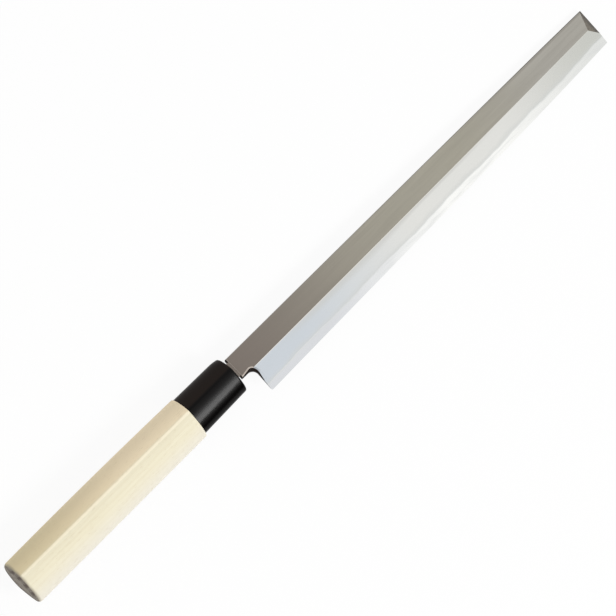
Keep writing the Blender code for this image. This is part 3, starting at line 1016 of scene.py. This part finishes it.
def makeLipFinish(look):                        # a small polished facet beside the chamfer, painted bright as a highlight
    finish = newFinish("lip_highlight")
    place = finish.place()
    filed = finish.noise(place, (1500, 1500, 400))
    return finish.surface({
        "Base Color": finish.mix(filed * 0.5, look["lip"], look["flatAtTip"]),
        "Metallic": 1.0,
        "Roughness": 0.28 + filed * 0.1,
        "Normal": finish.bump(filed, 0.000003),
    })


def chooseBladeFinish(face):                    # by where a face lies and which way it looks
    normal, middle = face.normal, face.center
    overTang = normal.z > 0.6 and tangFootY < middle.y < tangTopY
    if middle.x < shoulderX or normal.x < -0.3:         # tang, shoulders and choil
        return "flat" if overTang else "scaleAndShade"
    if normal.x > 0.7:                                  # the end of the tip
        return "tipFacet"
    if normal.z < -0.9:
        return "back"
    if normal.y > 0.2:
        return "spine"
    if normal.z < 0.9:                                  # the neck's underside and its chamfer
        return "scaleAndShade"
    if middle.x < heelX + choilShape["radius"]:         # what leans at the choil is its lip
        if middle.y > shinogiY(heelX) and (normal.x < -0.05 or normal.y < -0.02):
            return "lip"
        if normal.x < -0.05:
            return "bevel"
    if normal.x > 0.05:
        return "tipFacet"
    return "flat" if normal.y > -0.1 else "bevel"


def makeBlade(shape):
    easing = shape["shoulderRounding"]
    straightX = shoulderX + easing
    endX = tipX + shape["margin"]
    sections = shape["sections"]
    places = [straightX - easing * math.cos(angle) for angle in quarterTurn(shape["roundingSteps"])]
    places += [between(straightX, endX, (i + 1) / sections) for i in range(sections)]
    iron = loft("bladeIron", [at(x, ironOutline(x)) for x in places])
    steel = loft("bladeSteel", [at(x, steelOutline(x)) for x in places])
    tang = loft("tang", tangRings(ironLow.x, shoulderX + tangShape["rootOverlap"], 0))
    weldSpace = box("weldSpace", (shoulderX, ironLow.y * 2, backZ * 2), (endX, spineY * 2, weldZ))
    carve(tang, [weldSpace])
    settle(tang)
    tools = [choilTool(choilShape), tipTool(), tipFacetTool()]
    carve(iron, [tang], "UNION")
    carve(iron, tools)
    carve(steel, tools)
    settle(iron)
    settle(steel)
    discard(tools + [tang, weldSpace])
    scaleAndShade = makeScaleAndShadeFinish(softIron)
    spine = makeSpineFinish(softIron)
    tipFacet = makeTipFacetFinish(softIron)
    ironFinishes = {"flat": makeFlatFinish(softIron), "bevel": makeBevelFinish(softIron),
                    "lip": makeLipFinish(softIron), "spine": spine, "scaleAndShade": scaleAndShade,
                    "tipFacet": tipFacet, "back": scaleAndShade}
    band = makeBandFinish(hardSteel)
    steelFinishes = {"flat": band, "bevel": band, "lip": band, "spine": spine, "scaleAndShade": scaleAndShade,
                     "tipFacet": tipFacet, "back": makeBackFinish(hardSteel)}
    dress(iron, "blade_iron_body", ironFinishes, chooseBladeFinish, 8)
    dress(steel, "blade_steel_layer", steelFinishes, chooseBladeFinish, 8)


makeHandle(handleShape)
print("handle made")
makeFerrule(ferruleShape)
print("ferrule made")
makeBlade(bladeShape)
print("blade made")


# Floor: the knife lies on the wood's lower front edge and on the back of its tip
floorShape = {
    "size": 5.0,
    "gap": 0.0002,
    "whiteShare": 0.92,         # how much of the floor's white is its own
    "colour": (0.93, 0.93, 0.925, 1.0),
}


def makeFloor(shape):
    slope = math.atan2(backZ - handleLow.z, steelHigh.x - jointX)
    mesh = bmesh.new()
    bmesh.ops.create_grid(mesh, x_segments=8, y_segments=8, size=shape["size"] / 2)
    floor = meshObject("floor", mesh)
    touch = Vector((steelHigh.x, 0, backZ - shape["gap"]))
    floor.matrix_world = Matrix.Translation(touch) @ Matrix.Rotation(-slope, 4, "Y")
    finish = newFinish("pale_floor")
    cameraRay, mirrored = finish.rays()
    matt = finish.node("BsdfDiffuse", None, {"Color": shape["colour"]})
    white = finish.node("Emission", None, {"Color": (1, 1, 1, 1), "Strength": 1})
    share = finish.larger(cameraRay, mirrored) * shape["whiteShare"]
    surface = finish.node("MixShader", None, {0: share, 1: matt, 2: white})
    finish.node("OutputMaterial", None, {"Surface": surface})
    floor.data.materials.append(finish.owner)


# Light: one softbox on the edge's side, in a white room with two dark places, given as directions
# from the knife: what hangs overhead beside the camera, and the open side low behind the softbox
studio = {
    "roomLevel": 0.66,                  # light that the room gives
    "overheadLevel": 0.22,              # the dark places' levels, where white is 1
    "openSideLevel": 0.05,
    "overheadMiddle": (0.08, -0.16),    # along and across
    "overheadAlong": (0.16, 0.32),      # dark within the first distance, white past the second
    "overheadAcross": (0.09, 0.15),
    "horizonBlend": 0.1,                # it fades out down to the horizon
    "openSide": (-0.95, 0.10),          # across and up
    "openSideAcross": (0.25, 0.45),
    "openSideUp": (0.22, 0.32),
    "keyTowards": (0.200, -0.720, 0.665),
    "keyDistance": 3.0,
    "keySize": 0.9,
    "keyLevel": 0.58,                   # what it adds on a surface turned to it
}


def makeStudio(shape):
    world = bpy.data.worlds.new("studio")
    bpy.context.scene.world = world
    finish = Finish(world)
    x, y, z = finish.along(finish.node("TexCoord"))
    along, across = shape["overheadMiddle"]
    overhead = finish.around(x, along, shape["overheadAlong"])
    overhead = overhead * finish.around(y, across, shape["overheadAcross"])
    overhead = overhead * finish.ramp(z, 0, shape["horizonBlend"]) * (1 - shape["overheadLevel"])
    across, up = shape["openSide"]
    openSide = finish.around(y, across, shape["openSideAcross"])
    openSide = openSide * finish.around(z, up, shape["openSideUp"]) * (1 - shape["openSideLevel"])
    cameraRay, mirrored = finish.rays()
    level = (1 - finish.larger(overhead, openSide)) * between(shape["roomLevel"], 1, mirrored)
    strength = finish.larger(cameraRay, level)
    room = finish.node("Background", None, {"Color": (1, 1, 1, 1), "Strength": strength})
    finish.node("OutputWorld", None, {"Surface": room})

    middle = Vector(((handleLow.x + steelHigh.x) / 2, 0, 0))
    towards = Vector(shape["keyTowards"]).normalized()
    data = bpy.data.lights.new("key", "AREA")
    data.shape = "SQUARE"
    data.size = shape["keySize"]
    data.energy = shape["keyLevel"] * (math.pi * shape["keyDistance"]) ** 2
    turn = towards.to_track_quat("Z", "Y").to_matrix().to_4x4()
    key = newObject("key", data)
    key.matrix_world = Matrix.Translation(middle + towards * shape["keyDistance"]) @ turn


makeFloor(floorShape)
makeStudio(studio)
bpy.context.scene.view_settings.view_transform = "Standard"
print("floor and light made")


# Camera: where it stands over the knife, what it looks at, and how the knife lies in the picture
cameraPlace = {
    "height": 2.0,              # above the blade's plane
    "leanBehindButt": 10.3,     # degrees off square, seen from the butt
    "aimAlong": 0.19035,        # point of the knife at the picture's middle
    "aimAcross": -0.0024,
    "knifeSlant": 44.6,         # degrees that the spine climbs in the picture
    "focalPixels": 4401.5,      # focal length, in pixels of a picture this wide
    "pictureWidth": 616,
    "sensorWidth": 36,          # millimetres
}


def makeCamera(place):
    aim = Vector((place["aimAlong"], place["aimAcross"], 0))
    setBack = place["height"] * math.tan(math.radians(place["leanBehindButt"]))
    position = Vector((-setBack, place["aimAcross"], place["height"]))
    backward = (position - aim).normalized()
    tipward = Vector((1, 0, 0))
    tipward = (tipward - backward * tipward.dot(backward)).normalized()
    spineward = backward.cross(tipward)
    slant = math.radians(place["knifeSlant"])
    right = tipward * math.cos(slant) - spineward * math.sin(slant)
    up = tipward * math.sin(slant) + spineward * math.cos(slant)
    data = bpy.data.cameras.new("camera")
    data.sensor_width = place["sensorWidth"]
    data.lens = place["focalPixels"] / place["pictureWidth"] * place["sensorWidth"]
    camera = newObject("camera", data)
    turn = Matrix((right, up, backward)).transposed().to_4x4()
    camera.matrix_world = Matrix.Translation(position) @ turn
    bpy.context.scene.camera = camera


makeCamera(cameraPlace)
print("camera placed")
